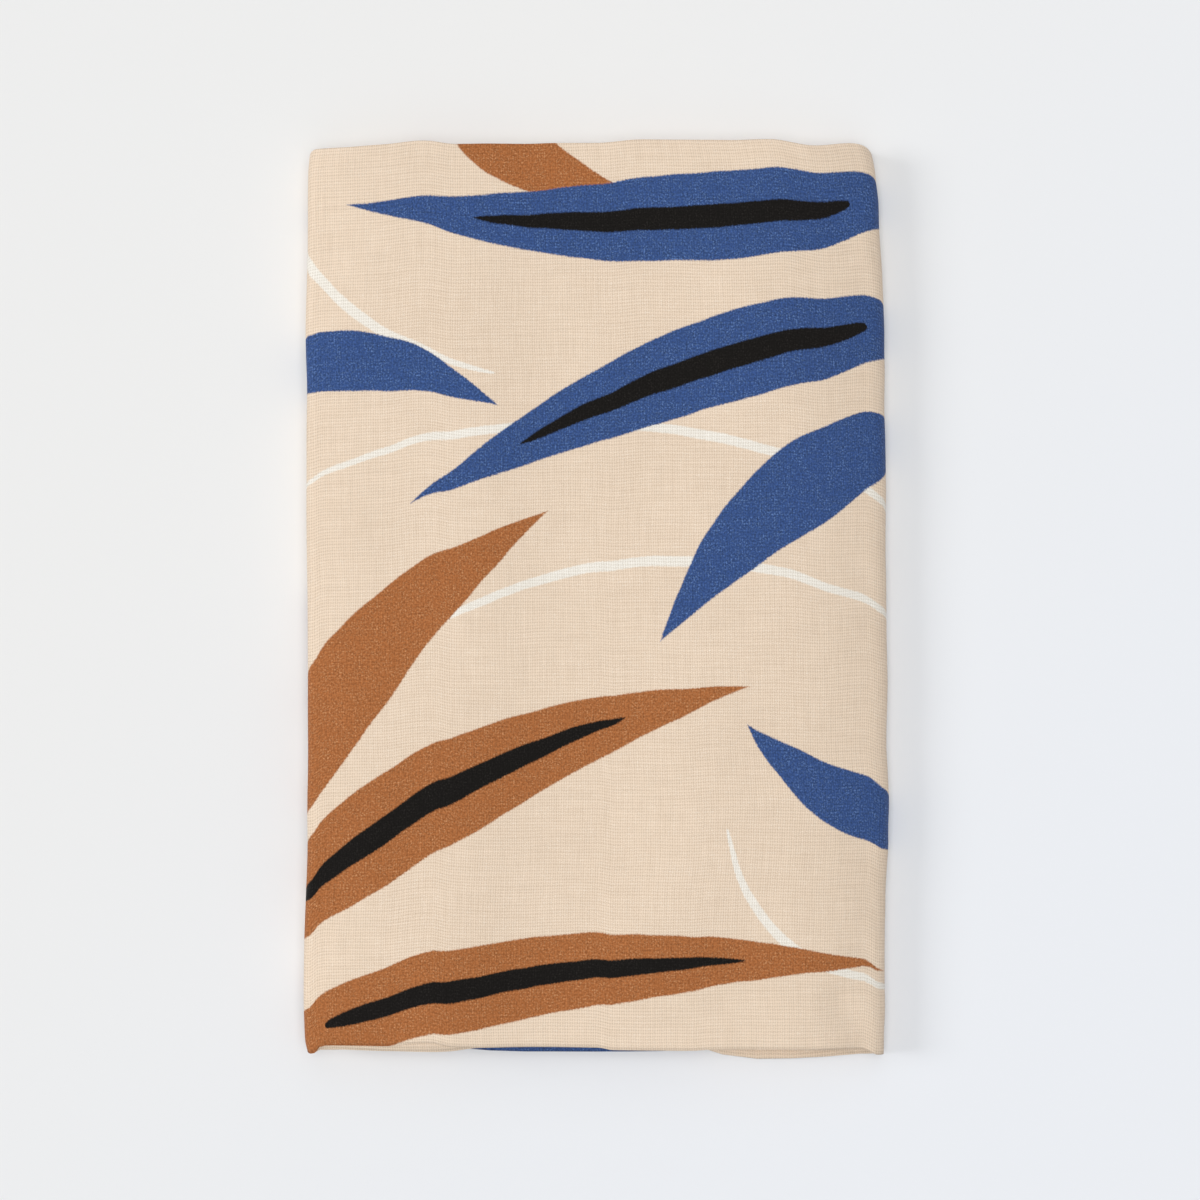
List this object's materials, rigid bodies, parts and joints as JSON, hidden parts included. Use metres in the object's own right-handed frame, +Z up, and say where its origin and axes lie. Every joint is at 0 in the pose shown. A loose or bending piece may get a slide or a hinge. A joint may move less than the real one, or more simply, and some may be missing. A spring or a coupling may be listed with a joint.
{
  "type": "folded tenugui towel",
  "caption": "Thin cotton hand towel, doubled across its width and folded back and forth into a flat oblong pile with one thick soft fold.",
  "frame": {"origin": "centre of the pile's bounding box, on the surface it rests on", "axes": "+X along the opened towel's length, towards the thick outer fold; +Y across the opened towel, towards the doubled edge; +Z up from the underside to the printed face"},
  "size_m": [0.1134, 0.1776, 0.0124],
  "materials": {
    "tenugui_cotton": "matte plain weave, cream, dye-printed with brown and indigo leaves"
  },
  "bodies": {
    "root": {"tenugui_cloth": "tenugui_cotton"}
  },
  "joints": []
}
